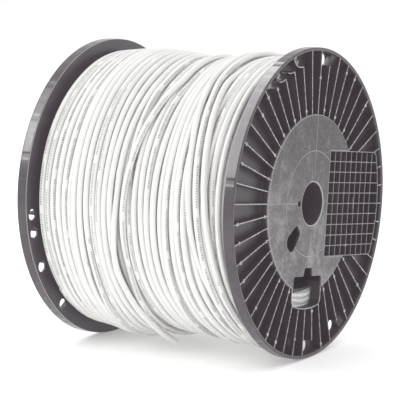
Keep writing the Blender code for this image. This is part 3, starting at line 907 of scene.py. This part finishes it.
# Where each visible turn crosses these angles, in millimetres along the axis, from far to near flange,
# then how much deeper than its layer it lies
TURNS = (
    (-123.0, -124.0, -126.0, -125.7, -125.7, -125.5, -125.0, 0.0),
    (-113.5, -114.8, -117.0, -117.6, -117.3, -118.5, -119.0, 0.0),
    (-103.5, -104.4, -106.8, -107.9, -106.5, -107.5, -108.0, 0.0),
    (-95.0, -96.0, -98.0, -99.0, -97.5, -98.0, -98.5, 0.0),
    (-85.0, -86.8, -88.4, -90.0, -89.0, -89.0, -89.0, 0.0),
    (-79.0, -79.5, -80.5, -83.5, -84.0, -81.0, -80.0, 2.6),
    (-73.5, -74.0, -74.6, -75.3, -76.3, -73.5, -72.0, 0.0),
    (-66.0, -66.3, -66.6, -66.6, -66.9, -66.8, -66.0, 0.0),
    (-58.0, -58.0, -58.0, -57.8, -56.8, -60.0, -60.5, 0.0),
    (-49.0, -49.0, -48.7, -48.6, -47.6, -51.0, -52.0, 0.0),
    (-40.5, -40.4, -40.0, -41.0, -41.2, -42.0, -43.5, 0.0),
    (-31.0, -31.4, -31.6, -33.5, -34.2, -33.2, -33.5, 0.0),
    (-20.5, -21.5, -23.4, -25.6, -26.0, -24.5, -24.5, 0.0),
    (-10.0, -11.6, -15.1, -17.1, -18.5, -14.0, -12.0, 0.0),
    (-1.0, -3.4, -4.5, -1.6, -1.4, 0.6, 1.5, 0.0),
    (10.5, 9.0, 8.2, 7.2, 7.4, 11.0, 12.5, 0.0),
    (21.0, 19.5, 16.7, 17.0, 17.0, 22.2, 25.0, 0.0),
    (32.8, 29.2, 26.4, 25.4, 25.0, 30.0, 32.5, 0.0),
    (44.0, 42.0, 37.6, 34.8, 33.8, 38.5, 41.0, 0.0),
    (50.0, 48.5, 46.5, 43.6, 42.0, 44.0, 45.5, 3.4),
    (55.4, 55.4, 54.6, 52.4, 49.0, 46.5, 46.0, 0.0),
    (60.0, 60.8, 63.0, 63.4, 61.0, 66.0, 70.0, 0.6),
    (66.0, 67.5, 68.8, 69.4, 69.6, 76.0, 80.0, 0.0),
    (78.0, 77.8, 77.2, 78.0, 79.0, 85.0, 88.5, 0.6),
    (98.5, 96.5, 90.5, 87.0, 88.4, 94.0, 97.0, 2.0),
    (108.0, 106.5, 104.0, 104.5, 110.5, 117.0, 119.0, 1.6),
    (116.5, 114.5, 112.0, 115.0, 116.5, 122.5, 124.0, 2.8),
    (125.5, 125.0, 125.0, 125.4, 126.0, 128.0, 128.5, 0.0),
)
# The turns that lie across the others, in the order they were laid
CROSSING_TURNS = (
    (24.0, 16.5, 2.2, -6.2, -9.4, -9.6, -9.0, 0.0),
    (67.6, 71.0, 82.0, 88.6, 98.0, 105.5, 108.5, 0.0),
    (78.6, 82.4, 91.4, 99.0, 105.6, 112.5, 116.0, 0.0),
    (88.7, 92.6, 102.2, 111.2, 119.0, 126.0, 128.0, 0.0),
)
# How far all these places lie too near the near flange, in millimetres
LEAN = 2.3
STEPS = 96
# The turn that runs out into the loose end
OUTER_TURN = 13
BACK_WIDTH = 0.262
EASE = 0.35
# How deep a crossing turn presses the layer down, and over what width
PRESSED_DEPTH = 0.0042
PRESSED_WIDTH = 0.013
# The sag of loose turns under the reel
SAG_DEPTH = 0.0048
SAG_PLACE = -0.068
SAG_WIDTH = 0.021
# Touching turns are laid a little closer than their diameter
LAID_PITCH = CABLE_DIAMETER * 0.98
# The layer under the outer turns, and the core under that
UNDER_TURNS = 34
UNDER_HALF = 0.1340
UNDER_DEPTH = 0.0064
CORE_INSIDE = 0.1096
CORE_OUTSIDE = 0.1640
CORE_HALF = 0.1345
# Turns on each end face, and the angle round which they climb to the next
END_TURNS = 8
END_PITCH = 0.0074
BARREL_OUTSIDE = 0.1092
CLIMB_ARC = 34.0
NEAR_CLIMB = -83.0
FAR_CLIMB = 138.0


def turn_table():
    """Each turn's place along the axis, and how far below its layer it lies, sampled round the reel."""
    rng = random.Random(7)
    rows = [(row, False) for row in TURNS] + [(row, True) for row in CROSSING_TURNS]
    total = len(rows)
    tops = sorted(range(total), key=lambda i: rows[i][0][0])
    bottoms = sorted((i for i in range(total) if i != OUTER_TURN), key=lambda i: rows[i][0][6])
    pitch = BACK_WIDTH / total
    back = [-BACK_WIDTH / 2 + pitch * (i + 0.5) for i in range(total)]
    top_place = {turn: back[rank] for rank, turn in enumerate(tops)}
    bottom_place = {turn: back[rank + 1] for rank, turn in enumerate(bottoms)}
    bottom_place[OUTER_TURN] = (rows[OUTER_TURN][0][6] - LEAN) / 1000
    degrees = np.linspace(-180.0, 180.0, STEPS + 1)
    knots = [-180.0, -140.0, -100.0] + list(FRONT[::-1]) + [100.0, 140.0, 180.0]
    table = []
    for index, (row, crossing) in enumerate(rows):
        front = [(value - LEAN) / 1000 for value in row[:7]]
        low, high = bottom_place[index], top_place[index]
        near_low = front[6] + (low - front[6]) * EASE
        near_high = front[0] + (high - front[0]) * EASE
        values = [low, low + (near_low - low) * EASE, near_low] + front[::-1]
        values += [near_high, high + (near_high - high) * EASE, high]
        x = smooth_line(knots, values, degrees)
        phase, swing = rng.uniform(0, 2 * math.pi), rng.uniform(0.0002, 0.0006)
        depth = row[7] / 1000 * np.clip(1.3 - np.abs(degrees) / 70.0, 0.0, 1.0)
        loose = swing * np.cos(np.radians(degrees) * rng.choice((1, 2, 3)) + phase)
        loose = loose * np.cos(np.radians(degrees / 2)) ** 2
        table.append({"x": x, "drop": depth + loose, "crossing": crossing, "index": index})
    return degrees, table


def layer_radius(x, angles, degrees, crossings):
    """Centre line of the outer layer: it sags below the reel, and lies deeper under crossing turns."""
    below = np.clip(np.cos(np.radians(angles + 90.0)), 0.0, 1.0) ** 1.6
    sag = SAG_DEPTH * np.exp(-((x - SAG_PLACE) / SAG_WIDTH) ** 2) * below
    around = (angles + 180.0) % 360.0 - 180.0
    pressed = np.zeros_like(x)
    for crossing in crossings:
        apart = np.abs(x - np.interp(around, degrees, crossing))
        pressed = np.maximum(pressed, PRESSED_DEPTH * np.exp(-(apart / PRESSED_WIDTH) ** 2))
    return wound_radius(x) - CABLE_RADIUS - pressed + sag


def stack(degrees, table):
    """Gives each turn the radius of its centre line: on its layer, or over the turns that it crosses."""
    crossings = [turn["x"] for turn in table if turn["crossing"]]
    laid = []
    for turn in table:
        x = turn["x"]
        base = layer_radius(x, degrees, degrees, crossings) - turn["drop"]
        radius = base.copy()
        for other in laid:
            apart = np.abs(x - other["x"])
            close = apart < LAID_PITCH
            lift = np.sqrt(np.clip(LAID_PITCH ** 2 - apart ** 2, 0.0, None))
            radius = np.where(close & turn["crossing"], np.maximum(radius, other["radius"] + lift), radius)
        if turn["crossing"]:
            wide = np.max([np.roll(radius, shift) for shift in range(-2, 3)], axis=0)
            weights = np.exp(-(np.arange(-4, 5) / 2.2) ** 2)
            weights /= weights.sum()
            padded = np.concatenate([wide[-5:-1], wide, wide[1:5]])
            radius = np.maximum(np.convolve(padded, weights, "valid"), base)
        turn["radius"] = radius
        laid.append(turn)


def into_loose_end(degrees, x, radius):
    """The turn that runs out into the loose end: it starts where the end's route does."""
    start = Vector(CABLE_END_ROUTE[0])
    angle = math.degrees(math.atan2(start.z, -start.y))
    reach = math.hypot(start.y, start.z)
    angles = np.linspace(angle, 180.0, STEPS - 20)
    blend = np.clip(1 - (angles - angle) / 38.0, 0.0, 1.0) ** 2
    blend = blend * (3 - 2 * blend)
    x = np.interp(angles, degrees, x) * (1 - blend) + start.x * blend
    radius = np.interp(angles, degrees, radius) * (1 - blend) + reach * blend
    return angles, x, radius


def end_turns(side, climb_angle):
    """Points of the turns on one end face, where each climbs to the next within a short arc."""
    around = np.linspace(0.0, 360.0 * END_TURNS, END_TURNS * 96 + 1)
    turned_by = around / 360.0
    climbed = (turned_by - np.floor(turned_by)) * 360.0 - 180.0
    climbed = np.clip(climbed / CLIMB_ARC + 0.5, 0.0, 1.0)
    climbed = np.floor(turned_by) + climbed * climbed * (3 - 2 * climbed)
    radius = BARREL_OUTSIDE + CABLE_RADIUS + END_PITCH * (climbed - 0.5)
    radius = np.maximum(radius, BARREL_OUTSIDE + CABLE_RADIUS + 0.0002)
    wander = 0.0005 * np.cos(np.radians(around) * 1.3)
    x = side * (HALF_TRAVERSE - 0.0010 - CABLE_RADIUS - np.abs(wander))
    points, _ = ring_points(x, radius, climb_angle - side * (around - 180.0))
    return points, turned_by


def wound_cable(material):
    """The outer turns, the layer under them, the end faces' turns and the core that they hide."""
    rng = random.Random(11)
    tubes = Tubes()
    degrees, table = turn_table()
    stack(degrees, table)
    for turn in table:
        angles, x, radius = degrees, turn["x"], turn["radius"]
        if turn["index"] == OUTER_TURN:
            angles, x, radius = into_loose_end(degrees, x, radius)
        points, up = ring_points(x, radius, angles)
        phase = rng.uniform(-0.5, 0.5)
        drift = rng.uniform(-0.25, 0.25)
        twist = phase * 0.45 + drift * np.radians(angles) / math.pi
        tubes.add(points, up, 10, rng.uniform(0.0, 1.0), twist)

    layer = np.linspace(0.0, UNDER_TURNS, UNDER_TURNS * 72 + 1)
    x = -UNDER_HALF + 2 * UNDER_HALF * layer / UNDER_TURNS
    angles = layer * 360.0
    crossings = [turn["x"] for turn in table if turn["crossing"]]
    points, up = ring_points(x, layer_radius(x, angles, degrees, crossings) - UNDER_DEPTH, angles)
    tubes.add(points, up, 8, 0.0, np.full(len(x), 0.5))

    for side, climb_angle in ((1.0, NEAR_CLIMB), (-1.0, FAR_CLIMB)):
        points, turned_by = end_turns(side, climb_angle)
        up = np.tile([[side, 0.0, 0.0]], (len(points), 1))
        tubes.add(points, up, 8, 0.3, 0.5 + 0.04 * turned_by)
    core = turned("core", [(CORE_INSIDE, -CORE_HALF), (CORE_OUTSIDE, -CORE_HALF),
                           (CORE_OUTSIDE, CORE_HALF), (CORE_INSIDE, CORE_HALF)], 96)
    outward(core)
    core.transform(REEL_AXIS)
    core.uv_layers.new(name="run")
    mesh = merged("wound_cable_turns", [tubes.mesh("wound_cable_turns"), core])
    mesh.shade_smooth()
    mesh.set_sharp_from_angle(angle=TUBE_SHARP_ANGLE)
    return new_object("wound_cable_turns", mesh, material)


def even_points(route, count):
    """Evenly spaced points on a smooth curve through the route's points, and the curve's length."""
    points = [Vector(point) for point in route]
    ends = [points[0] * 2 - points[1]] + points + [points[-1] * 2 - points[-2]]
    fine = []
    for index in range(1, len(ends) - 2):
        a, b, c, d = ends[index - 1:index + 3]
        for step in range(20):
            t = step / 20
            fine.append((2 * b + (c - a) * t + (2 * a - 5 * b + 4 * c - d) * t ** 2
                         + (3 * b - a - 3 * c + d) * t ** 3) / 2)
    fine.append(points[-1])
    travelled = [0.0]
    for before, after in zip(fine, fine[1:]):
        travelled.append(travelled[-1] + (after - before).length)
    even = []
    index = 0
    for step in range(count):
        target = travelled[-1] * step / (count - 1)
        while index < len(fine) - 2 and travelled[index + 1] < target:
            index += 1
        stretch = travelled[index + 1] - travelled[index]
        even.append(fine[index].lerp(fine[index + 1], (target - travelled[index]) / stretch))
    return even, travelled[-1]


def cable_end(material):
    """The loose outer end, cut off square, as a tube along the route."""
    route, length = even_points(CABLE_END_ROUTE, 37)
    line = np.array([[p.x, p.y, p.z + AXIS_HEIGHT] for p in route])
    up = line - np.array([0.0, 0.0, AXIS_HEIGHT])
    up[:, 0] = 0.0
    tubes = Tubes()
    tubes.add(line, up, 20, 0.74, np.full(len(line), 0.30))
    end = new_object("cable_outer_end_tube", tubes.mesh("cable_outer_end_tube"), material)
    return end, line, length


# Camera, floor and light

CAMERA_PLACE = (1.3168, -2.1362, 0.5537)
CAMERA_AIM = (-0.5216, 0.8406, -0.1463)
CAMERA_LENS = 181.86
WORLD_STRENGTH = 1.04
LIFTED_BLACK = (-0.036, -0.029, -0.034)
FLOOR_HALF = 30.0
FLOOR_LEVEL = -0.0006


def make_camera():
    data = bpy.data.cameras.new("camera")
    camera = new_object("camera", data)
    camera.location = CAMERA_PLACE
    camera.rotation_mode = "QUATERNION"
    camera.rotation_quaternion = Vector(CAMERA_AIM).to_track_quat("-Z", "Y")
    data.lens = CAMERA_LENS
    data.sensor_width = 36.0
    bpy.context.scene.camera = camera


def softbox(name, middle, long_side, size, radiance):
    """A rectangular light of the given radiance, facing the reel's middle, its long side set."""
    data = bpy.data.lights.new(name, "AREA")
    data.shape = "RECTANGLE"
    data.size, data.size_y = size
    data.energy = radiance * math.pi * size[0] * size[1]
    light = new_object(name, data)
    back = (Vector(middle) - Vector((0.0, 0.0, AXIS_HEIGHT))).normalized()
    first = (Vector(long_side) - back * back.dot(Vector(long_side))).normalized()
    turn = Matrix((first, back.cross(first), back)).transposed().to_4x4()
    light.matrix_world = Matrix.Translation(middle) @ turn
    return light


def light_only(light, piece):
    """Keeps a light to one object."""
    lit = bpy.data.collections.new(light.name + "_on")
    lit.objects.link(piece)
    light.light_linking.receiver_collection = lit


def make_studio(near, far):
    """White world, plain floor, one key light, a gloss light for each rim and a fill for the floor."""
    world = bpy.data.worlds.new("studio")
    bpy.context.scene.world = world
    world.use_nodes = True
    set_inputs(world.node_tree.nodes["Background"], Color=(1.0, 1.0, 1.0, 1.0), Strength=WORLD_STRENGTH)
    view = bpy.context.scene.view_settings
    view.view_transform = "Standard"
    view.use_curve_mapping = True
    view.curve_mapping.black_level = LIFTED_BLACK
    view.curve_mapping.update()
    corners = [(x * FLOOR_HALF, y * FLOOR_HALF, 0.0) for x, y in ((-1, -1), (1, -1), (1, 1), (-1, 1))]
    mesh = mesh_from("studio_floor", corners, [range(4)])
    floor = new_object("studio_floor", mesh, floor_material())
    floor.location.z = FLOOR_LEVEL

    softbox("key", middle=(-1.32, -1.10, AXIS_HEIGHT + 1.50), long_side=(0.0, 0.82, 0.57),
            size=(2.3, 0.27), radiance=8.0)
    near_gloss = softbox("near_rim_gloss", middle=(-0.85, -0.40, 1.38), long_side=(0.0, 0.94, 0.34),
                         size=(3.0, 0.8), radiance=6.2)
    far_gloss = softbox("far_rim_gloss", middle=(-1.19, -1.475, 1.37), long_side=(0.0, 0.66, 0.75),
                        size=(0.95, 0.35), radiance=11.0)
    for light, flange in ((near_gloss, near), (far_gloss, far)):
        light.visible_diffuse = False
        light_only(light, flange)
    fill = softbox("floor_fill", middle=(0.0, 0.0, 4.0), long_side=(1.0, 0.0, 0.0),
                   size=(6.0, 6.0), radiance=0.9)
    fill.data.use_shadow = False
    light_only(fill, floor)


def main():
    make_camera()
    jacket = jacket_material()
    end, line, length = cable_end(jacket)
    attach(end, "root")
    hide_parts("cable_outer_end")

    winding = wound_cable(jacket)
    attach(winding, "root")
    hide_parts("wound_cable")

    near, far = make_flanges(flange_material())
    for piece, node in ((near, "near_flange"), (far, "far_flange")):
        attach(piece, "root")
        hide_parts(node)

    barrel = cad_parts["barrel"]
    barrel.data.materials.clear()
    barrel.data.materials.append(barrel_material())
    make_studio(near, far)


main()
